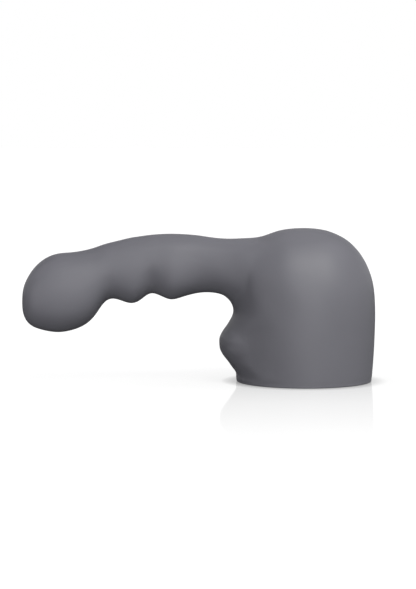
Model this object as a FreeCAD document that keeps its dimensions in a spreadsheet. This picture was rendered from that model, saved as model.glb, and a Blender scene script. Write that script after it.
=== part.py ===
"""Slip-on curved attachment for a wand massager, as a parametric FreeCAD document.

The cap pulls over the round head of the wand, mouth down.  A bent, rippled arm with a weighted
bulb at its end grows out of the side of the cap, high up, and a small nub sits below the arm.
All of the outside is one soft silicone moulding.  Inside the cap are a firmer silicone cup that
grips the wand's head and a turned steel weight, which keeps the attachment standing on its rim.
Inside the arm is a hard core in two halves that holds a steel ball.  A leaf of spring steel joins
the core to the weight and lets the arm flex at the neck.

Millimetres.  The origin is the centre of the cap's mouth, on the plane the rim stands on.
+Z is up along the cap's axis, and the arm points along -X.
"""
import FreeCAD
import Part
import Sketcher
import os

X_AXIS = FreeCAD.Vector(1, 0, 0)
Y_AXIS = FreeCAD.Vector(0, 1, 0)
Z_AXIS = FreeCAD.Vector(0, 0, 1)

doc = FreeCAD.newDocument("wand_attachment")


# ---------------------------------------------------------------- driving dimensions

SIZES = {
    # outside of the cap
    "cap_width": 66.4,
    "cap_rise": 71.4,
    "rim_width": 63.0,
    "rim_edge": 1,
    "side_bow": 400,
    "shoulder_round": 31,
    # firm cup that grips the head of the wand, and the soft lip under it
    "socket_width": 57,
    "socket_straight": 31,
    "socket_corner": 15,
    "socket_wall": 2,
    "lip_rise": 2,
    "mouth_chamfer": 0.5,
    "grip_first": 9,
    "grip_pitch": 8,
    "grip_rings": 3,
    "grip_breadth": 2,
    "grip_sink": 0.9,
    "grip_overrun": 1,
    # nub below the arm, an egg shape sunk into the wall
    "nub_depth": 15,
    "nub_half_wide": 20,
    "nub_half_tall": 10.5,
    "nub_reach": 24.5,
    "nub_level": 17.5,
    # steel weight in the crown
    "weight_bottom": 49.6,
    "weight_width": 54,
    "weight_band": 4.4,
    "weight_top": 66.5,
    "weight_top_width": 26,
    "key_hole": 5,
    "key_hole_ring": 36,
    "pocket_overrun": 2,
    # spring leaf and the plate that clamps it
    "leaf_level": 54.6,
    "leaf_gauge": 0.5,
    "leaf_breadth": 12,
    "leaf_start": 8,
    "leaf_end": 70,
    "leaf_head": 4,
    "leaf_head_breadth": 16,
    "clamp_start": 8,
    "clamp_end": 24,
    "clamp_breadth": 17,
    "clamp_gauge": 2,
    # neck that flexes, between the cap's skin and the arm's skin
    "neck_start": 38,
    "neck_end": 58,
    "neck_floor": 32,
    # core of the arm
    "core_start": 60,
    "core_breadth": 18,
    "core_half_tall": 5.5,
    "core_belly": 10,
    "core_edge": 2,
    "ball_reach": 113,
    "ball_level": 41.5,
    "ball_width": 16,
    "ball_housing": 23,
    # fasteners
    "shank_width": 2.5,
    "head_width": 5,
    "head_rise": 1.6,
    "hex_key": 1.5,
    "hex_sink": 1,
    "clamp_screw_length": 8,
    "core_screw_length": 13,
}

# Where the outline of the arm turns: distance from the cap's axis, height of the middle of the
# section, half its height and half its width.
ARM_SECTIONS = {
    "nose": (131.4, 36.7, 3.2, 3.0),
    "nose_round": (129.6, 37.7, 9.4, 9.2),
    "bulb_front": (125.5, 39.3, 14.1, 13.8),
    "bulb_cheek": (119, 40.8, 17.4, 17.0),
    "bulb_middle": (111, 41.8, 18.4, 17.8),
    "bulb_back": (103.5, 43.4, 17.6, 17.0),
    "throat_slope": (97.5, 46.9, 15.6, 15.2),
    "throat": (91, 51.3, 13.3, 13.2),
    "outer_ripple": (80, 52.0, 15.2, 13.6),
    "ripple_valley": (70.5, 54.8, 13.7, 13.4),
    "inner_ripple": (61.5, 53.6, 15.3, 13.6),
    "neck_front": (51, 54.7, 13.7, 13.4),
    "neck_waist": (42, 54.3, 12.9, 12.8),
    "root": (36.5, 52.9, 13.7, 13.4),
    "root_flare": (27, 50.0, 17.0, 15.5),
    "crown_blend": (12, 48.5, 21.0, 17.0),
}
for section, figures in ARM_SECTIONS.items():
    for figure, size in zip(("reach", "level", "tall", "wide"), figures):
        SIZES[f"{section}_{figure}"] = size

# Driving dimensions first, each in its own row under its own name.
sheet = doc.addObject("Spreadsheet::Sheet", "Sizes")
for row, (name, size) in enumerate(SIZES.items(), start=1):
    sheet.set(f"A{row}", name)
    sheet.set(f"B{row}", str(size))
    sheet.setAlias(f"B{row}", name)
doc.recompute()


def cells(expression):
    """Point each name of the sheet that an expression uses at its cell."""
    words = []
    word = ""
    for letter in expression + " ":
        if letter.isalnum() or letter == "_":
            word += letter
            continue
        words.append(f"Sizes.{word}" if word in SIZES else word)
        words.append(letter)
        word = ""
    return "".join(words).strip()


def measure(expression):
    """The number that an expression on the sheet stands for now."""
    return float(sheet.evalExpression(cells(expression)))


# ---------------------------------------------------------------- helpers

def primitive(kind, name, at=("0", "0", "0"), turn=None, **sizes):
    """A Part primitive whose sizes and place follow the sheet."""
    piece = doc.addObject(f"Part::{kind}", name)
    if turn:
        piece.Placement = FreeCAD.Placement(FreeCAD.Vector(), FreeCAD.Rotation(*turn))
    for size, expression in sizes.items():
        piece.setExpression(size, cells(expression))
    for axis, expression in zip("xyz", at):
        piece.setExpression(f"Placement.Base.{axis}", cells(expression))
    return piece


def cut(name, base, tool):
    """Base less tool."""
    piece = doc.addObject("Part::Cut", name)
    piece.Base = base
    piece.Tool = tool
    return piece


def common(name, base, tool):
    """What base and tool share."""
    piece = doc.addObject("Part::Common", name)
    piece.Base = base
    piece.Tool = tool
    return piece


def fuse(name, *pieces):
    """One solid of several that meet."""
    piece = doc.addObject("Part::MultiFuse", name)
    piece.Shapes = list(pieces)
    return piece


def group(name, *pieces):
    """Separate solids kept together in one sub-part."""
    piece = doc.addObject("Part::Compound", name)
    piece.Links = list(pieces)
    return piece


def outline(body, name, plane, corners, rounds):
    """A closed sketch through corners given as expressions.

    rounds maps the number of a side to the radius of the arc that replaces it, which bulges to
    the right of its chord.
    """
    sketch = body.newObject("Sketcher::SketchObject", name)
    origin_plane = [item for item in body.Origin.OriginFeatures if item.Role == plane][0]
    sketch.AttachmentSupport = (origin_plane, "")
    sketch.MapMode = "FlatFace"
    points = [FreeCAD.Vector(measure(across), measure(up), 0) for across, up in corners]
    for side, start in enumerate(points):
        end = points[(side + 1) % len(points)]
        if side not in rounds:
            sketch.addGeometry(Part.LineSegment(start, end), False)
            continue
        radius = measure(rounds[side])
        chord = end - start
        half = chord.Length / 2
        outward = FreeCAD.Vector(chord.y, -chord.x, 0).normalize()
        centre_gap = (radius * radius - half * half) ** 0.5
        middle = (start + end) * 0.5 + outward * (radius - centre_gap)
        sketch.addGeometry(Part.Arc(start, middle, end), False)
    for side in range(len(points)):
        tie_corner(sketch, side, len(points), points, corners[side])
        if side in rounds:
            item = sketch.addConstraint(
                Sketcher.Constraint("Radius", side, measure(rounds[side])))
            sketch.setExpression(f"Constraints[{item}]", cells(rounds[side]))
    return sketch


def end_at(sketch, side, point):
    """Which end of a side of the sketch lies on a point: 1 for its start, 2 for its end."""
    start = sketch.Geometry[side].StartPoint
    return 1 if start.distanceToPoint(point) < 1e-6 else 2


def tie_corner(sketch, side, count, points, corner):
    """Join two sides at a corner and fix the corner's place to the sheet."""
    point = points[side]
    before = (side - 1) % count
    sketch.addConstraint(Sketcher.Constraint(
        "Coincident", before, end_at(sketch, before, point), side, end_at(sketch, side, point)))
    for kind, expression in zip(("DistanceX", "DistanceY"), corner):
        item = sketch.addConstraint(Sketcher.Constraint(
            kind, -1, 1, side, end_at(sketch, side, point), measure(expression)))
        sketch.setExpression(f"Constraints[{item}]", cells(expression))


def turned(name, corners, rounds):
    """A body turned about the Z axis from half of its section."""
    body = doc.addObject("PartDesign::Body", name)
    sketch = outline(body, f"{name}_section", "XZ_Plane", corners, rounds)
    turn = body.newObject("PartDesign::Revolution", f"{name}_turn")
    turn.Profile = sketch
    turn.ReferenceAxis = (sketch, ["V_Axis"])
    turn.Angle = 360
    doc.recompute()
    return body


def screw(name, at, along, length):
    """Pan head screw and its hexagon socket: the head starts at a place and points backwards.

    along is the axis the shank runs along, "Y" or "Z".  The blank without its socket is returned
    too, to cut the screw's hole.
    """
    turn = (X_AXIS, -90) if along == "Y" else (Z_AXIS, 0)
    shank_at = list(at)
    shank_at["XYZ".index(along)] += " + head_rise"
    head = primitive("Cylinder", f"{name}_head", at=at, turn=turn,
                     Radius="head_width / 2", Height="head_rise")
    shank = primitive("Cylinder", f"{name}_shank", at=shank_at, turn=turn,
                      Radius="shank_width / 2", Height=f"{length} - head_rise")
    socket = primitive("Prism", f"{name}_socket", at=at, turn=turn,
                       Circumradius="hex_key / 2 / cos(30)", Height="hex_sink")
    socket.Polygon = 6
    blank = fuse(f"{name}_blank", head, shank)
    return cut(name, blank, socket), blank


def screw_group(name, places, along, length):
    """Identical screws as one sub-part, and the room they take up."""
    screws = []
    blanks = []
    for number, at in enumerate(places, start=1):
        finished, blank = screw(f"{name}_{number}", at, along, length)
        screws.append(finished)
        blanks.append(blank)
    return group(name, *screws), fuse(f"{name}_room", *blanks)


# ---------------------------------------------------------------- whole outside, before it is divided

def build_outside():
    """Cap, arm and nub as one silicone form with no hollow."""
    cap = turned("cap_form", [
        ("0", "0"),
        ("rim_width / 2 - rim_edge", "0"),
        ("rim_width / 2", "rim_edge"),
        ("cap_width / 2", "cap_rise - shoulder_round"),
        ("cap_width / 2 - shoulder_round", "cap_rise"),
        ("0", "cap_rise"),
    ], {1: "rim_edge", 2: "side_bow", 3: "shoulder_round"})
    rings = []
    for section in ARM_SECTIONS:
        rings.append(primitive(
            "Ellipse", f"{section}_ring", at=(f"-{section}_reach", "0", f"{section}_level"),
            turn=(Y_AXIS, -90), MajorRadius=f"{section}_tall", MinorRadius=f"{section}_wide"))
    arm = doc.addObject("Part::Loft", "arm_form")
    arm.Sections = rings
    arm.Solid = True
    arm.Ruled = False
    nub = primitive("Ellipsoid", "nub_form", at=("-nub_reach", "0", "nub_level"),
                    Radius1="nub_half_tall", Radius2="nub_depth", Radius3="nub_half_wide")
    return fuse("outside_form", cap, arm, nub)


outside = build_outside()


# ---------------------------------------------------------------- firm cup that grips the wand's head

CUP_CROWN = [
    ("socket_width / 2 + socket_wall", "lip_rise"),
    ("socket_width / 2 + socket_wall", "socket_straight"),
    ("socket_width / 2 - socket_corner", "socket_straight + socket_corner + socket_wall"),
    ("0", "socket_straight + socket_corner + socket_wall"),
]
MOUTH = [
    ("0", "0"),
    ("socket_width / 2 + mouth_chamfer", "0"),
    ("socket_width / 2", "mouth_chamfer"),
]


def build_socket_cup():
    """Turned cup with a straight bore, a rounded ceiling and grip rings cut into its wall."""
    cup = turned("socket_cup", [("0", "lip_rise")] + CUP_CROWN,
                 {2: "socket_corner + socket_wall"})
    bore = outline(cup, "bore_section", "XZ_Plane", MOUTH + [
        ("socket_width / 2", "socket_straight"),
        ("socket_width / 2 - socket_corner", "socket_straight + socket_corner"),
        ("0", "socket_straight + socket_corner"),
    ], {3: "socket_corner"})
    bore_cut = cup.newObject("PartDesign::Groove", "bore_cut")
    bore_cut.Profile = bore
    bore_cut.ReferenceAxis = (bore, ["V_Axis"])
    bore_cut.Angle = 360
    doc.recompute()
    ring = outline(cup, "grip_section", "XZ_Plane", [
        ("socket_width / 2 - grip_overrun", "grip_first"),
        ("socket_width / 2 + grip_sink", "grip_first"),
        ("socket_width / 2 + grip_sink", "grip_first + grip_breadth"),
        ("socket_width / 2 - grip_overrun", "grip_first + grip_breadth"),
    ], {})
    ring_cut = cup.newObject("PartDesign::Groove", "grip_cut")
    ring_cut.Profile = ring
    ring_cut.ReferenceAxis = (ring, ["V_Axis"])
    ring_cut.Angle = 360
    doc.recompute()
    rings = cup.newObject("PartDesign::LinearPattern", "grip_rings_cut")
    rings.Originals = [ring_cut]
    rings.Direction = (ring, ["V_Axis"])
    rings.setExpression("Length", cells("grip_pitch * (grip_rings - 1)"))
    rings.setExpression("Occurrences", cells("grip_rings"))
    cup.Tip = rings
    return cup


socket_cup = build_socket_cup()
cup_space = turned("cup_space", MOUTH + [("socket_width / 2", "lip_rise")] + CUP_CROWN,
                   {5: "socket_corner + socket_wall"})


# ---------------------------------------------------------------- spring leaf, its clamp and screws

def build_leaf_blank():
    """Flat steel strip with a wide head that the arm's core traps, and two holes for the clamp."""
    strip = primitive("Box", "leaf_strip", at=("-leaf_end", "-leaf_breadth / 2", "leaf_level"),
                      Length="leaf_end - leaf_start", Width="leaf_breadth", Height="leaf_gauge")
    head = primitive("Box", "leaf_head_bar",
                     at=("-leaf_end", "-leaf_head_breadth / 2", "leaf_level"),
                     Length="leaf_head", Width="leaf_head_breadth", Height="leaf_gauge")
    return fuse("leaf_blank", strip, head)


CLAMP_SCREW_PLACES = [
    ("-clamp_start - (clamp_end - clamp_start) / 4", "0", "leaf_level - clamp_gauge - head_rise"),
    ("-clamp_end + (clamp_end - clamp_start) / 4", "0", "leaf_level - clamp_gauge - head_rise"),
]
clamp_screws, clamp_screw_room = screw_group("clamp_screws", CLAMP_SCREW_PLACES, "Z",
                                             "clamp_screw_length")
leaf_blank = build_leaf_blank()
flex_leaf = cut("flex_leaf", leaf_blank, clamp_screw_room)
clamp_blank = primitive(
    "Box", "clamp_blank", at=("-clamp_end", "-clamp_breadth / 2", "leaf_level - clamp_gauge"),
    Length="clamp_end - clamp_start", Width="clamp_breadth", Height="clamp_gauge")
leaf_clamp = cut("leaf_clamp", clamp_blank, clamp_screw_room)


# ---------------------------------------------------------------- steel weight in the crown

def build_crown_weight():
    """Turned steel slug with a pocket for the clamp and holes that key it into the silicone."""
    slug = turned("weight_blank", [
        ("0", "weight_bottom"),
        ("weight_width / 2", "weight_bottom"),
        ("weight_width / 2", "weight_bottom + weight_band"),
        ("weight_top_width / 2", "weight_top"),
        ("0", "weight_top"),
    ], {})
    pocket = primitive(
        "Box", "clamp_pocket",
        at=("-weight_width / 2 - pocket_overrun", "-clamp_breadth / 2", "weight_bottom"),
        Length="weight_width / 2 + pocket_overrun - clamp_start", Width="clamp_breadth",
        Height="leaf_level + leaf_gauge - weight_bottom")
    holes = []
    for quarter in range(4):
        angle = 45 + 90 * quarter
        holes.append(primitive(
            "Cylinder", f"key_hole_{quarter + 1}",
            at=(f"key_hole_ring / 2 * cos({angle})", f"key_hole_ring / 2 * sin({angle})",
                "weight_bottom"),
            Radius="key_hole / 2", Height="weight_top - weight_bottom"))
    return cut("crown_weight", slug, fuse("weight_cuts", pocket, clamp_screw_room, *holes))


crown_weight = build_crown_weight()


# ---------------------------------------------------------------- hard core of the arm, in two halves

def build_core_blank():
    """Bar that runs down the arm into a round housing for the ball."""
    body = doc.addObject("PartDesign::Body", "core_bar")
    middle = "leaf_level + leaf_gauge / 2"
    sketch = outline(body, "core_side", "XZ_Plane", [
        ("-ball_reach", "ball_level - core_half_tall"),
        ("-outer_ripple_reach - core_half_tall", f"{middle} - core_belly"),
        ("-core_start", f"{middle} - core_half_tall"),
        ("-core_start", f"{middle} + core_half_tall"),
        ("-throat_reach", f"{middle} + core_half_tall / 2"),
        ("-ball_reach", "ball_level + core_half_tall"),
    ], {})
    pad = body.newObject("PartDesign::Pad", "core_pad")
    pad.Profile = sketch
    pad.setExpression("Length", cells("core_breadth"))
    pad.Midplane = True
    doc.recompute()
    edges = body.newObject("PartDesign::Fillet", "core_edges")
    edges.Base = (pad, [f"Edge{number + 1}" for number in range(len(pad.Shape.Edges))])
    edges.setExpression("Radius", cells("core_edge"))
    doc.recompute()
    housing = primitive("Sphere", "ball_housing_form", at=("-ball_reach", "0", "ball_level"),
                        Radius="ball_housing / 2")
    return fuse("core_blank", body, housing)


CORE_SCREW_PLACES = [
    ("-(leaf_end + outer_ripple_reach) / 2", "-core_breadth / 2", "leaf_level + leaf_gauge / 2"),
    ("-throat_reach - head_width / 2", "-core_breadth / 2", "leaf_level - core_half_tall"),
]


def half_space(name, side):
    """Box over one side of the arm, from its middle plane outwards."""
    start = "-core_breadth" if side < 0 else "0"
    return primitive("Box", name, at=("-nose_reach", start, "0"), Length="nose_reach",
                     Width="core_breadth", Height="cap_rise")


core_screws, core_screw_room = screw_group("core_screws", CORE_SCREW_PLACES, "Y",
                                           "core_screw_length")
core_blank = build_core_blank()
tip_weight = primitive("Sphere", "tip_weight", at=("-ball_reach", "0", "ball_level"),
                       Radius="ball_width / 2")
core_hollows = fuse("core_hollows", tip_weight, core_screw_room, leaf_blank)
core_shell = cut("core_shell", core_blank, core_hollows)
core_left = common("core_left", core_shell, half_space("left_side", 1))
core_right = common("core_right", core_shell, half_space("right_side", -1))


# ---------------------------------------------------------------- silicone skin, divided at the neck

def slab(name, start, end, floor):
    """Box that holds all of the outside between two distances from the cap's axis."""
    return primitive("Box", name, at=(f"-({end})", "-cap_width", floor),
                     Length=f"{end} - ({start})", Width="2 * cap_width", Height="2 * cap_rise")


neck_slab = slab("neck_slab", "neck_start", "neck_end", "neck_floor")
arm_slab = slab("arm_slab", "neck_end", "nose_reach + cap_width", "0")
insert_space = fuse("insert_space", cup_space, crown_weight, leaf_clamp, clamp_screw_room,
                    leaf_blank, core_blank)
skin_form = cut("skin_form", outside, insert_space)
cap_skin = cut("cap_skin", skin_form, fuse("beyond_cap", neck_slab, arm_slab))
neck_skin = common("neck_skin", skin_form, neck_slab)
arm_skin = common("arm_skin", skin_form, arm_slab)


# ---------------------------------------------------------------- check and write

SUB_PARTS = [cap_skin, neck_skin, arm_skin, socket_cup, crown_weight, leaf_clamp, clamp_screws,
             flex_leaf, core_left, core_right, core_screws, tip_weight]

doc.recompute()
for item in doc.Objects:
    if "Invalid" in item.State or "Error" in item.State:
        raise RuntimeError(f"{item.Name} failed: {item.State}")

os.makedirs("parts", exist_ok=True)
for item in SUB_PARTS:
    item.Label = item.Name
    shape = item.Shape
    if shape.isNull() or not shape.isValid():
        raise RuntimeError(f"{item.Label} has no valid shape")
    shape.exportStep(f"parts/{item.Label}.step")
    box = shape.BoundBox
    print(f"{item.Label:14s} solids {len(shape.Solids)}  {shape.Volume / 1000:8.2f} cm3  "
          f"x {box.XMin:7.1f} {box.XMax:7.1f}  y {box.YMin:6.1f} {box.YMax:6.1f}  "
          f"z {box.ZMin:6.1f} {box.ZMax:6.1f}")
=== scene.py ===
"""Looks of the slip-on wand attachment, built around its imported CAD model."""
import bmesh
import bpy
from math import atan2, copysign, cos, exp, pi, radians, sin, sqrt, tau
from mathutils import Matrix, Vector


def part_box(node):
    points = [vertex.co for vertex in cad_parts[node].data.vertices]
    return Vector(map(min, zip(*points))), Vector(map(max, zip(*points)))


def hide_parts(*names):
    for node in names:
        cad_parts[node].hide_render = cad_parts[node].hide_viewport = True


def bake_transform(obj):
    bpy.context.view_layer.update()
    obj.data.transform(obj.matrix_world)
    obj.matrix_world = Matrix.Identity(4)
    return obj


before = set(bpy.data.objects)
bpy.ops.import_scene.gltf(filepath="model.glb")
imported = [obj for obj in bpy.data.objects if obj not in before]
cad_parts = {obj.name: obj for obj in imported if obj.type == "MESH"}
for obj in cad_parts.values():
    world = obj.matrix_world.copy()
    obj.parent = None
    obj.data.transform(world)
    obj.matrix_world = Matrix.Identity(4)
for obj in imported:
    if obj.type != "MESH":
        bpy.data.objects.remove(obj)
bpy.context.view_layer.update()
MM = 0.001

# ------------------------------------------------------------------------------------- camera
# A long lens a little above the tabletop, square to the side of the arm, so the whole
# attachment is in view with plenty of plain space above and below it.

CAMERA_DISTANCE = 1.2
CAMERA_RISE = radians(4.8)
VIEW_WIDTH = 0.1943
SENSOR_WIDTH = 36
view_centre = Vector((-0.0449, 0, 0.0405))
bpy.ops.object.camera_add(
    location=view_centre + CAMERA_DISTANCE * Vector((0, -cos(CAMERA_RISE), sin(CAMERA_RISE))),
    rotation=(pi / 2 - CAMERA_RISE, 0, 0))
camera = bpy.context.object
camera.data.sensor_fit = "HORIZONTAL"
camera.data.sensor_width = SENSOR_WIDTH
camera.data.lens = SENSOR_WIDTH * CAMERA_DISTANCE / VIEW_WIDTH
bpy.context.scene.camera = camera

# ------------------------------------------------------------------------------------- silicone skin
# The whole outside is one soft silicone moulding: the open cap, the rippled arm with its bulb
# and the nub below it.  It is cast round the hard pieces, turns under at the mouth in a short
# lip, and lines the room that the firm cup sits in.

SIDES = 16
CAP_RADIUS = 33.2
WIDEST = 33.0
CAP_TOP = 71.4
DOME_SQUARENESS = 2.32
RIM_DRAW = 1.6
SHOULDER_TOP = 66.8
SHOULDER_START = -12.0
SHOULDER_SINK = 0.6
SHOULDER_ROUND = 60.0
SHOULDER_BLEND = 2.5
SHOULDER_SWELL = 0.10
SWELL_LEVEL = 59.0
SWELL_REACH = 13.0


def cap_radius(z):
    """Outside radius of the cap at a height, in millimetres."""
    if z <= WIDEST:
        return CAP_RADIUS - RIM_DRAW * ((WIDEST - z) / WIDEST) ** 2
    rise = (z - WIDEST) / (CAP_TOP - WIDEST)
    return CAP_RADIUS * (1 - rise ** DOME_SQUARENESS) ** (1 / DOME_SQUARENESS)


def dome_height(radius):
    """Height of the dome's surface at a distance from the cap's axis."""
    return WIDEST + (CAP_TOP - WIDEST) * (
        1 - (radius / CAP_RADIUS) ** DOME_SQUARENESS) ** (1 / DOME_SQUARENESS)


def swell(at):
    """How much wider than round the cap is at a place, where the arm's shoulder fills it out."""
    level = (at.z - SWELL_LEVEL) / SWELL_REACH
    side = max(-at.x / at.xy.length, 0) * abs(at.y / at.xy.length) * 2
    return 1 + SHOULDER_SWELL * side * exp(-level ** 2)


def crown_height(at):
    """Height of the crown above a place: the dome, filled out where the arm runs on to it."""
    dome = dome_height(at.xy.length)
    sink = SHOULDER_SINK * max(at.x - SHOULDER_START, 0)
    shoulder = SHOULDER_TOP - sink - at.y ** 2 / SHOULDER_ROUND
    return (dome + shoulder + sqrt((dome - shoulder) ** 2 + SHOULDER_BLEND ** 2)) / 2


crown_radii = [12.0, 17.3, 22.3]
CROWN_RING = (crown_radii[0], dome_height(crown_radii[0]))
PATCH_TOP = dome_height(crown_radii[-1])
ARM_FOOT = 32.3
NUB_FOOT = 4.2
wall_heights = [58.3, 51.3, 42.9, ARM_FOOT, 25, 17.5, 10, NUB_FOOT]
wall = [(r, dome_height(r)) for r in crown_radii] + [(cap_radius(z), z) for z in wall_heights]
rim = [(31.72, 1.9), (31.6, 0.6), (31.05, 0.0), (29.3, 0.0), (28.65, 0.35), (28.5, 1.0)]
cavity = [(28.5, 2.0), (30.5, 2.0), (30.5, 4.0), (30.5, 18), (30.5, 30), (28.2, 39.6),
          (21, 46.3), (13, 48), (6, 48)]


def pick(mesh, test):
    """Select only the vertices that pass a test on their place, with the faces between them."""
    bpy.ops.mesh.select_all(action="DESELECT")
    edit = bmesh.from_edit_mesh(mesh)
    for vertex in edit.verts:
        vertex.select = test(vertex.co / MM)
    edit.select_flush_mode()
    bmesh.update_edit_mesh(mesh)


def pick_faces(mesh, test):
    """Select only the faces whose middle passes a test."""
    bpy.ops.mesh.select_mode(type="FACE")
    bpy.ops.mesh.select_all(action="DESELECT")
    edit = bmesh.from_edit_mesh(mesh)
    for face in edit.faces:
        face.select = test(face.calc_center_median() / MM)
    edit.select_flush_mode()
    bmesh.update_edit_mesh(mesh)


# The cap is drawn down ring by ring from the crown, round the lip and up inside.
bpy.ops.object.select_all(action="DESELECT")
rings = wall + rim + cavity
bpy.ops.mesh.primitive_circle_add(vertices=SIDES, radius=rings[0][0] * MM,
                                  location=(0, 0, rings[0][1] * MM))
skin = bpy.context.object
skin.name = "silicone_skin"
bpy.ops.object.transform_apply(location=True, rotation=True, scale=True)
bpy.ops.object.mode_set(mode="EDIT")
for (radius, z), (next_radius, next_z) in zip(rings, rings[1:]):
    bpy.ops.mesh.extrude_edges_move(TRANSFORM_OT_translate={"value": (0, 0, (next_z - z) * MM)})
    growth = next_radius / radius
    bpy.ops.transform.resize(value=(growth, growth, 1), center_override=(0, 0, 0))
bpy.ops.mesh.fill_grid(span=SIDES // 4)
pick(skin.data, lambda at: abs(at.z - CROWN_RING[1]) < 0.1)
bpy.ops.mesh.fill_grid(span=SIDES // 4)
edit = bmesh.from_edit_mesh(skin.data)
for vertex in edit.verts:
    at = vertex.co / MM
    if at.z > PATCH_TOP - 0.1:
        vertex.co.z = crown_height(at) * MM
    if at.z > WIDEST and at.xy.length > cap_radius(at.z) - 1:
        vertex.co.xy *= swell(at)
bmesh.update_edit_mesh(skin.data)


def patch_layers(edit):
    """Corners of the selected four-by-four patch: its edge, the ring inside it and its middle."""
    left = {vertex for vertex in edit.verts if vertex.select}
    faces = {face for face in edit.faces if face.select}
    layers = []
    while left:
        layer = [v for v in left if any(face not in faces for face in v.link_faces)]
        layer = layer or list(left)
        faces = {f for f in faces if not any(v in layer for v in f.verts)}
        left = left - set(layer)
        middle = sum((v.co for v in layer), Vector()) / len(layer)

        def turn(vertex):
            offset = vertex.co - middle
            return round(atan2(offset.y, -offset.z), 4) % tau
        layers.append(sorted(layer, key=turn))
    return layers


def place_patch(mesh, spot):
    """Put each corner of the selected patch where spot(turn, share) says.

    turn goes once round the patch from its lowest corner, and share is 1 on its edge and 0 in
    its middle.
    """
    edit = bmesh.from_edit_mesh(mesh)
    layers = patch_layers(edit)
    for number, layer in enumerate(layers):
        share = 1 - number / (len(layers) - 1)
        for step, vertex in enumerate(layer):
            vertex.co = Vector(spot(tau * step / len(layer), share)) * MM
    bmesh.update_edit_mesh(mesh)


# The nub is a wide, low bump on the cap's wall below the arm.
NUB_LEVEL = 17.6
NUB_PROUD = 6.8
NUB_HALF_WIDE = 18.0
NUB_HALF_TALL = 9.2
NUB_STEEPNESS = 2.5
NUB_END_STEEPNESS = 3.6
NUB_RINGS = (1.2, 0.9, 0.6)
PATCH_HALF_ANGLE = 45


def nub_spot(turn, share, size):
    """A corner of the nub: size counts its rings in half widths, share shrinks them further."""
    across = sin(turn) * size * share
    up = -cos(turn) * size * share
    z = NUB_LEVEL + up * NUB_HALF_TALL
    angle = across * NUB_HALF_WIDE / CAP_RADIUS
    fall = abs(up) ** NUB_STEEPNESS + abs(across) ** NUB_END_STEEPNESS
    radius = cap_radius(z) + NUB_PROUD * exp(-fall)
    return -radius * cos(angle), radius * sin(angle), z


def faces_arm(at, low, high):
    """Is a place on the outside of the cap, on the arm's side, between two heights?"""
    outside = low < at.z < high and at.xy.length > cap_radius(at.z) - 1.5
    return outside and abs(atan2(at.y, -at.x)) < radians(PATCH_HALF_ANGLE)


pick_faces(skin.data, lambda at: faces_arm(at, NUB_FOOT, ARM_FOOT))
for size in NUB_RINGS:
    bpy.ops.mesh.extrude_region_move()
    place_patch(skin.data, lambda turn, share: nub_spot(turn, share, size))

# The arm is drawn out of the cap, first through two rings of a wide flare and then section by
# section.  A ring of the flare has the places of its bottom, side and top.  A section has its
# distance from the cap's axis, the heights of its top and bottom, half its width, and how much
# its lower half is pinched in.
SECTION_SQUARENESS = 2.4
ARM_FLARE = [
    dict(bottom=(-33.9, 36.2), side=(-27.0, 19.8), top=(-28.0, 66.8)),
    dict(bottom=(-36.3, 39.2), side=(-33.3, 17.0), top=(-34.0, 66.6)),
]
ARM_SECTIONS = [
    (39.5, 66.8, 40.9, 15.2, 0.02),
    (44.5, 67.4, 41.6, 14.2, 0.04),
    (50.0, 68.2, 41.2, 13.6, 0.03),
    (56.0, 68.7, 39.7, 13.8, 0.00),
    (61.5, 68.9, 38.3, 14.2, 0.00),
    (66.0, 68.8, 39.5, 13.9, 0.05),
    (70.5, 68.5, 41.1, 13.6, 0.11),
    (74.0, 68.1, 39.9, 13.7, 0.06),
    (77.5, 67.6, 37.4, 14.0, 0.01),
    (81.3, 67.0, 36.6, 14.1, 0.00),
    (85.5, 66.0, 37.8, 14.0, 0.02),
    (90.0, 64.9, 38.6, 13.9, 0.04),
    (94.0, 63.8, 36.0, 14.3, 0.02),
    (98.0, 62.4, 30.4, 15.3, 0.00),
    (103.0, 61.1, 26.1, 16.6, 0.00),
    (109.0, 60.2, 23.8, 17.6, 0.00),
    (115.0, 59.6, 23.0, 17.9, 0.00),
    (121.0, 57.3, 23.8, 17.4, 0.00),
    (126.0, 53.0, 25.4, 15.8, 0.00),
    (129.0, 48.6, 27.7, 13.2, 0.00),
    (130.7, 44.6, 30.8, 9.6, 0.00),
]
NOSE_REACH = 131.5
NOSE_DROOP = 0.85


def squared(share):
    """A sine or cosine drawn out, so that an oval made with it has fuller corners."""
    return copysign(abs(share) ** (2 / SECTION_SQUARENESS), share)


def flare_spot(turn, ring):
    """A corner of the flare where the arm leaves the cap."""
    (low_x, low_z), (side_x, side_y), (high_x, high_z) = ring["bottom"], ring["side"], ring["top"]
    down = max(cos(turn), 0) ** 2
    up = max(-cos(turn), 0) ** 2
    x = side_x + (low_x - side_x) * down + (high_x - side_x) * up
    z = (high_z + low_z) / 2 - squared(cos(turn)) * (high_z - low_z) / 2
    return x, side_y * squared(sin(turn)), z


def section_spot(turn, share, section):
    """A corner of an oval section of the arm."""
    reach, top, bottom, half_wide, pinch = section
    middle = (top + bottom) / 2
    half_tall = (top - bottom) / 2
    across = half_wide * squared(sin(turn)) * (1 - pinch * max(cos(turn), 0) ** 0.5)
    return -reach, across * share, middle - half_tall * squared(cos(turn)) * share


def nose_spot(turn, share):
    """A corner of the rounded end of the bulb, inside the last section."""
    x, y, z = section_spot(turn, share, ARM_SECTIONS[-1])
    dome = sqrt(1 - share ** 2)
    return x - (NOSE_REACH - ARM_SECTIONS[-1][0]) * dome, y, z - NOSE_DROOP * (1 - share)


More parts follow.
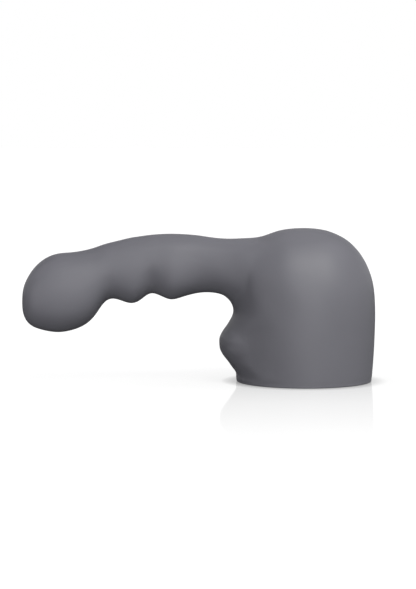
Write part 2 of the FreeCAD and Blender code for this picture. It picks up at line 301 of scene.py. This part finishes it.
pick_faces(skin.data, lambda at: faces_arm(at, ARM_FOOT, PATCH_TOP))
bpy.ops.mesh.extrude_region_move()
place_patch(skin.data, lambda turn, share: flare_spot(turn, ARM_FLARE[0]))
bpy.ops.mesh.extrude_region_move()
place_patch(skin.data, lambda turn, share: flare_spot(turn, ARM_FLARE[1]))
for section in ARM_SECTIONS:
    bpy.ops.mesh.extrude_region_move()
    place_patch(skin.data, lambda turn, share: section_spot(turn, share, section))
place_patch(skin.data, nose_spot)

bpy.ops.mesh.select_mode(type="VERT")
bpy.ops.mesh.select_all(action="SELECT")
bpy.ops.mesh.normals_make_consistent(inside=False)
bpy.ops.object.mode_set(mode="OBJECT")

# A smooth surface is drawn inside its cage, so the cage is let out until the surface itself
# passes through the corners that were placed.  The room for the cup stays as it was drawn.
FITTING_ROUNDS = 8
CUP_ROOM_RADIUS = 30.9
CUP_ROOM_TOP = 50
wanted = [vertex.co.copy() for vertex in skin.data.vertices]
smooth = skin.modifiers.new("smooth", "SUBSURF")
smooth.levels = smooth.render_levels = 2
for _ in range(FITTING_ROUNDS):
    shown = skin.evaluated_get(bpy.context.evaluated_depsgraph_get()).to_mesh()
    gaps = [goal - shown.vertices[i].co for i, goal in enumerate(wanted)]
    for vertex, gap in zip(skin.data.vertices, gaps):
        at = wanted[vertex.index] / MM
        if at.xy.length > CUP_ROOM_RADIUS or at.z > CUP_ROOM_TOP:
            vertex.co += gap
    skin.evaluated_get(bpy.context.evaluated_depsgraph_get()).to_mesh_clear()
    skin.data.update()
smooth.levels = smooth.render_levels = 3
bpy.ops.object.modifier_apply(modifier="smooth")
bpy.ops.object.shade_smooth()


class Wire:
    """A value inside a material.  Plain arithmetic on it adds the Math nodes."""

    def __init__(self, finish, socket):
        self.finish = finish
        self.socket = socket

    def maths(self, operation, first, second):
        """Join two values with a Math node."""
        return self.finish.add("ShaderNodeMath", {"operation": operation}, {0: first, 1: second})

    def __add__(self, other):
        return self.maths("ADD", self, other)

    def __sub__(self, other):
        return self.maths("SUBTRACT", self, other)

    def __rsub__(self, other):
        return self.maths("SUBTRACT", other, self)

    def __mul__(self, other):
        return self.maths("MULTIPLY", self, other)

    def __truediv__(self, other):
        return self.maths("DIVIDE", self, other)

    def __pow__(self, other):
        return self.maths("POWER", self, other)

    __radd__ = __add__
    __rmul__ = __mul__


class Finish:
    """A node material under construction."""

    def __init__(self, name, owner=None):
        self.material = owner or bpy.data.materials.new(name)
        self.material.use_nodes = True
        self.tree = self.material.node_tree
        self.tree.nodes.clear()

    def add(self, kind, settings=None, sockets=None, output=0):
        """Add a node: its settings first, then values or wires on its sockets."""
        node = self.tree.nodes.new(kind)
        for setting, value in (settings or {}).items():
            if setting == "ramp":
                self.set_ramp(node.color_ramp, value)
            else:
                setattr(node, setting, value)
        for socket, value in (sockets or {}).items():
            if isinstance(value, Wire):
                self.tree.links.new(value.socket, node.inputs[socket])
            elif value is not None:
                node.inputs[socket].default_value = value
        return Wire(self, node.outputs[output])

    @staticmethod
    def set_ramp(ramp, stops):
        """Give a colour ramp its stops: place and brightness."""
        while len(ramp.elements) < len(stops):
            ramp.elements.new(0.5)
        for element, (place, brightness) in zip(ramp.elements, stops):
            element.position = place
            element.color = (brightness, brightness, brightness, 1)

    def place(self, scale=(1, 1, 1)):
        """Object coordinates, stretched by a scale."""
        spot = self.add("ShaderNodeTexCoord", output="Object")
        return self.add("ShaderNodeMapping", {}, {"Vector": spot, "Scale": scale})

    def noise(self, scale, detail=3, roughness=0.5, stretch=(1, 1, 1)):
        """Cloudy noise from 0 to 1, with its coarsest cells about 1/scale metres across."""
        return self.add("ShaderNodeTexNoise", {}, {
            "Vector": self.place(stretch), "Scale": scale, "Detail": detail,
            "Roughness": roughness}, "Fac")

    def tint(self, colour, lightness):
        """A colour made lighter or darker by a wire around 1."""
        return self.add("ShaderNodeVectorMath", {"operation": "SCALE"}, {
            0: colour, "Scale": lightness}, "Vector")

    def bump(self, height, distance, strength=1.0):
        """Surface relief from a height wire, distance metres deep."""
        return self.add("ShaderNodeBump", {}, {
            "Height": height, "Distance": distance, "Strength": strength}, "Normal")

    def surface(self, **sockets):
        """Finish with a Principled surface, its sockets named with _ for spaces."""
        named = {name.replace("_", " "): value for name, value in sockets.items()}
        return self.finish(self.add("ShaderNodeBsdfPrincipled", {}, named))

    def finish(self, shader):
        """Join a shader to the output."""
        kind = "World" if isinstance(self.material, bpy.types.World) else "Material"
        output = self.tree.nodes.new("ShaderNodeOutput" + kind)
        self.tree.links.new(shader.socket, output.inputs["Surface"])
        return self.material


def dress(piece, material):
    """Give a piece one material all over."""
    piece.data.materials.clear()
    piece.data.materials.append(material)


def finish_nodes(material, *nodes):
    """Give carried-over CAD nodes a material, in the slots that they have."""
    for node in nodes:
        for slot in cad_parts[node].material_slots:
            slot.material = material


SILICONE_GREY = (0.150, 0.150, 0.170)
silicone = Finish("grey_silicone")
clouds = silicone.noise(55, 3)
specks = silicone.noise(900, 2)
grain = silicone.noise(4200, 2, 0.6)
skin_material = silicone.surface(
    Base_Color=silicone.tint(SILICONE_GREY, 0.95 + clouds * 0.07 + specks * 0.03),
    Roughness=0.47 + specks * 0.08,
    Specular_IOR_Level=0.3,
    Normal=silicone.bump(grain, 0.00004, 0.5))
dress(skin, skin_material)

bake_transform(skin)
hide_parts("cap_skin", "neck_skin", "arm_skin")

# ------------------------------------------------------------------------------------- spring leaf
# A flat strip of hardened steel between the cap's weight and the arm's core, which bends when
# the arm is pushed.  It is stamped with a wide head at the arm's end and two screw holes.

LEAF_STRIP_WIDTH = 12 * MM
LEAF_HEAD_LENGTH = 4 * MM
LEAF_HOLE_RADIUS = 1.35 * MM
LEAF_EDGE = 0.08 * MM
DRILL_LENGTH = 10 * MM


def drill(piece, place, radius):
    """Cut a round hole through a piece along Z."""
    bpy.ops.object.select_all(action="DESELECT")
    bpy.ops.mesh.primitive_cylinder_add(vertices=40, radius=radius, depth=DRILL_LENGTH, location=place)
    drill_bit = bpy.context.object
    bpy.context.view_layer.objects.active = piece
    hole = piece.modifiers.new("hole", "BOOLEAN")
    hole.object = drill_bit
    hole.operation = "DIFFERENCE"
    bpy.ops.object.modifier_apply(modifier="hole")
    bpy.data.objects.remove(drill_bit)


leaf_low, leaf_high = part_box("flex_leaf")
clamp_low, clamp_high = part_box("leaf_clamp")
leaf_size = leaf_high - leaf_low
head_overhang = (leaf_size.y - LEAF_STRIP_WIDTH) / 2
bpy.ops.object.select_all(action="DESELECT")
bpy.ops.mesh.primitive_grid_add(x_subdivisions=31, y_subdivisions=6, size=1,
                                location=(leaf_low + leaf_high) / 2)
leaf = bpy.context.object
leaf.name = "spring_leaf"
leaf.scale = (leaf_size.x, LEAF_STRIP_WIDTH, 1)
bpy.ops.object.transform_apply(location=True, rotation=True, scale=True)
bpy.ops.object.mode_set(mode="EDIT")
for side in (-1, 1):
    pick(leaf.data, lambda at: at.y * side > LEAF_STRIP_WIDTH / MM / 2 - 0.1
         and at.x < (leaf_low.x + LEAF_HEAD_LENGTH) / MM + 0.1)
    bpy.ops.mesh.extrude_edges_move(
        TRANSFORM_OT_translate={"value": (0, side * head_overhang, 0)})
bpy.ops.object.mode_set(mode="OBJECT")
gauge = leaf.modifiers.new("gauge", "SOLIDIFY")
gauge.thickness = leaf_size.z
gauge.offset = 0
bpy.ops.object.modifier_apply(modifier="gauge")
hole_spacing = (clamp_high.x - clamp_low.x) / 4
for hole_x in (clamp_low.x + hole_spacing, clamp_high.x - hole_spacing):
    drill(leaf, (hole_x, 0, leaf_low.z), LEAF_HOLE_RADIUS)
edges = leaf.modifiers.new("edges", "BEVEL")
edges.width = LEAF_EDGE
edges.segments = 2
edges.limit_method = "ANGLE"
bpy.ops.object.modifier_apply(modifier="edges")

steel = Finish("blued_spring_steel")
streaks = steel.noise(300, 4, 0.6, (0.1, 6, 6))
haze = steel.noise(90, 3)
dress(leaf, steel.surface(
    Base_Color=steel.tint((0.34, 0.36, 0.42), 0.85 + haze * 0.3),
    Metallic=1.0,
    Roughness=0.26 + streaks * 0.16,
    Normal=steel.bump(streaks, 0.00002, 0.4)))
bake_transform(leaf)
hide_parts("flex_leaf")

# ------------------------------------------------------------------------------------- socket cup
# The lining that grips the wand's head: a firmer, darker silicone with three grip rings, moulded
# first and then set into the skin.  It has the fine satin of a blasted mould.

cup_silicone = Finish("firm_silicone_satin")
clouds = cup_silicone.noise(70, 3)
grain = cup_silicone.noise(2600, 3, 0.6)
finish_nodes(cup_silicone.surface(
    Base_Color=cup_silicone.tint((0.052, 0.053, 0.062), 0.9 + clouds * 0.2),
    Roughness=0.5 + grain * 0.1,
    Specular_IOR_Level=0.35,
    Normal=cup_silicone.bump(grain, 0.00005, 0.6)), "socket_cup")

# ------------------------------------------------------------------------------------- crown weight
# A turned steel slug moulded into the crown, which keeps the attachment standing on its rim.
# The lathe leaves fine rings round its axis.

slug_steel = Finish("turned_steel_rings")
place = slug_steel.add("ShaderNodeTexCoord", output="Object")
across = slug_steel.add("ShaderNodeVectorMath", {"operation": "MULTIPLY"}, {
    0: place, 1: (1, 1, 0)}, "Vector")
radius = slug_steel.add("ShaderNodeVectorMath", {"operation": "LENGTH"}, {0: across}, "Value")
tool_marks = slug_steel.add("ShaderNodeMath", {"operation": "SINE"}, {0: radius * 21000})
stain = slug_steel.noise(120, 4)
finish_nodes(slug_steel.surface(
    Base_Color=slug_steel.tint((0.46, 0.46, 0.47), 0.8 + stain * 0.35),
    Metallic=1.0,
    Roughness=0.3 + stain * 0.2,
    Normal=slug_steel.bump(tool_marks, 0.00001, 0.5)), "crown_weight")

# ------------------------------------------------------------------------------------- leaf clamp
# The plate that holds the leaf up against the weight, cut from bright rolled strip.  Two
# screws hold it, and the marks of the rolls run along it.

plate_steel = Finish("rolled_steel_strip")
scratches = plate_steel.noise(500, 4, 0.6, (8, 0.5, 1))
wear = plate_steel.noise(160, 3)
finish_nodes(plate_steel.surface(
    Base_Color=plate_steel.tint((0.52, 0.52, 0.53), 0.85 + wear * 0.25),
    Metallic=1.0,
    Roughness=0.28 + scratches * 0.18,
    Normal=plate_steel.bump(scratches, 0.00001, 0.4)), "leaf_clamp")

# ------------------------------------------------------------------------------------- screws
# Small pan head screws with hexagon sockets, two through the plate and two through the core.
# They are black oxide steel, rubbed brighter in places.

oxide = Finish("black_oxide_screw")
rub = oxide.noise(900, 4, 0.65)
finish_nodes(oxide.surface(
    Base_Color=oxide.tint((0.055, 0.055, 0.06), 0.7 + rub * 1.1),
    Metallic=0.9,
    Roughness=0.34 + rub * 0.2,
    Normal=oxide.bump(rub, 0.00001, 0.5)), "clamp_screws", "core_screws")

# ------------------------------------------------------------------------------------- arm core
# Two moulded halves of glass-filled nylon that trap the leaf's head and the steel ball.  The
# glass shows as fine pale flecks in the black.

nylon = Finish("glass_filled_nylon_black")
flecks = nylon.add("ShaderNodeTexVoronoi", {"feature": "F1"}, {
    "Vector": nylon.place((1, 0.25, 1)), "Scale": 2600}, "Distance")
flow = nylon.noise(60, 4)
glass = nylon.add("ShaderNodeValToRGB", {"ramp": [(0.02, 1), (0.22, 0)]}, {0: flecks})
finish_nodes(nylon.surface(
    Base_Color=nylon.tint((0.03, 0.03, 0.032), 0.85 + flow * 0.3 + glass * 2.5),
    Roughness=0.42 + flow * 0.15,
    Normal=nylon.bump(flecks, 0.00003, 0.5)), "core_left", "core_right")

# ------------------------------------------------------------------------------------- tip weight
# A ground bearing ball that gives the bulb its weight, held between the halves of the core.
# It is very smooth, with a faint grinding haze.

ball_steel = Finish("ground_bearing_ball")
haze = ball_steel.noise(400, 5, 0.7)
finish_nodes(ball_steel.surface(
    Base_Color=ball_steel.tint((0.6, 0.6, 0.61), 0.94 + haze * 0.1),
    Metallic=1.0,
    Roughness=0.08 + haze * 0.08,
    Normal=ball_steel.bump(haze, 0.000004, 0.3)), "tip_weight")

# ------------------------------------------------------------------------------------- studio
# A white tabletop with a little polish close to the attachment, a white backdrop all round,
# and soft boxes: a large one high at the front right, a low one in front, and weak ones round
# the sides and back.

CONTACT_SHADOW_REACH = 0.008
SHADE_REACH = 0.06
POLISH_REACH = 0.36
POLISH = 0.53
PLAIN_GLOW = 0.27
CONTACT_SHADOW_DEPTH = 0.45
SHADE_GLOW = 0.20
FAR_GLOW = 0.15
BOUNCE = 0.12
bpy.ops.mesh.primitive_plane_add(size=8)
floor = bpy.context.object
floor.name = "floor"
tabletop = Finish("white_tabletop")
spot = tabletop.add("ShaderNodeTexCoord", output="Object")
distance = tabletop.add("ShaderNodeVectorMath", {"operation": "LENGTH"}, {0: spot}, "Value")
near = tabletop.add("ShaderNodeValToRGB", {"ramp": [(0, 1), (1, 0)]}, {0: distance / POLISH_REACH})
grazing = tabletop.add("ShaderNodeFresnel", {}, {"IOR": 1.45})
# Painted contact shadow: the tabletop's glow dims within a few millimetres of the rim.
contact_shade = tabletop.add("ShaderNodeAmbientOcclusion", {"samples": 8}, {
    "Distance": CONTACT_SHADOW_REACH}, "AO")
# Painted shadow: the glow also dims under the arm, the bulb and the nub, where the attachment
# overhangs the tabletop.
shade = tabletop.add("ShaderNodeAmbientOcclusion", {"samples": 8}, {
    "Distance": SHADE_REACH}, "AO")
matt = tabletop.add("ShaderNodeBsdfDiffuse", {}, {"Color": (0.1, 0.1, 0.1, 1)})
seen = tabletop.add("ShaderNodeLightPath", output="Is Camera Ray")
# Painted bounce light: diffuse rays see a faint glow from the tabletop, which lights the underside of
# the attachment like a lamp.
bounced = tabletop.add("ShaderNodeLightPath", output="Is Diffuse Ray")
# What the camera sees of the tabletop is a glow with painted shade in it: the two painted shadows
# above, and painted light that rises away from the attachment so that the far tabletop stays white.
clear = PLAIN_GLOW + contact_shade ** 2 * CONTACT_SHADOW_DEPTH + shade * SHADE_GLOW + (1 - near) * FAR_GLOW
glow = tabletop.add("ShaderNodeEmission", {}, {
    "Color": tabletop.tint((1, 1, 1), seen * clear + bounced * BOUNCE), "Strength": 1.0})
mirror = tabletop.add("ShaderNodeBsdfGlossy", {}, {"Color": (1, 1, 1, 1), "Roughness": 0.06})
lit = tabletop.add("ShaderNodeAddShader", {}, {0: matt, 1: glow})
top = tabletop.add("ShaderNodeMixShader", {}, {0: near * grazing * POLISH, 1: lit, 2: mirror})
tabletop.finish(top)
dress(floor, tabletop.material)

AIM = Vector((-0.03, 0, 0.045))
BULB = Vector((-0.115, 0, 0.042))


def soft_box(name, aim, side, rise, distance, size, watts, colour):
    """A square area light turned to a place; side and rise are angles in degrees."""
    direction = Vector((sin(radians(side)) * cos(radians(rise)),
                        -cos(radians(side)) * cos(radians(rise)), sin(radians(rise))))
    bpy.ops.object.light_add(type="AREA", location=aim + direction * distance)
    light = bpy.context.object
    light.name = name
    light.rotation_euler = direction.to_track_quat("Z", "Y").to_euler()
    light.data.shape = "SQUARE"
    light.data.size = size
    light.data.energy = watts
    light.data.color = colour
    light.visible_camera = False


soft_box("key_box", AIM, 36, 50, 0.9, 0.5, 7.6, (1.0, 1.0, 0.97))
soft_box("front_box", AIM, 9, 9, 0.9, 0.4, 3.05, (1.0, 0.99, 1.0))
soft_box("left_box", AIM, -112, 36, 0.9, 0.4, 0.9, (0.93, 0.91, 1.0))
soft_box("right_box", AIM, 120, 50, 0.9, 0.4, 0.8, (0.92, 0.88, 1.0))
soft_box("back_box", AIM, 180, 45, 0.9, 0.4, 0.4, (0.95, 0.94, 1.0))
soft_box("bulb_box", BULB, -45, 5, 0.2, 0.12, 0.09, (1.0, 0.98, 1.0))

# The backdrop is white to the eye.  Reflections find it only near the horizon, with dark flags
# above it, and it gives the matt surfaces next to no light.
FILL = 0.02
FLAG = 0.03
HORIZON_BAND = (0.15, 0.45)
world = bpy.data.worlds.new("studio")
bpy.context.scene.world = world
backdrop = Finish("studio", world)
place = backdrop.add("ShaderNodeTexCoord", output="Generated")
height = backdrop.add("ShaderNodeSeparateXYZ", {}, {"Vector": place}, "Z")
band = backdrop.add("ShaderNodeMapRange", {"interpolation_type": "SMOOTHSTEP"}, {
    "Value": height, "From Min": HORIZON_BAND[0], "From Max": HORIZON_BAND[1],
    "To Min": 1.0, "To Max": FLAG})
glossy = backdrop.add("ShaderNodeLightPath", output="Is Glossy Ray")
diffuse = backdrop.add("ShaderNodeLightPath", output="Is Diffuse Ray")
level = (1 - glossy) * (1 - diffuse) + glossy * band + diffuse * FILL
backdrop.finish(backdrop.add("ShaderNodeBackground", {}, {
    "Color": backdrop.tint((1, 1, 1), level), "Strength": 1.0}))
bpy.context.scene.view_settings.view_transform = "Standard"
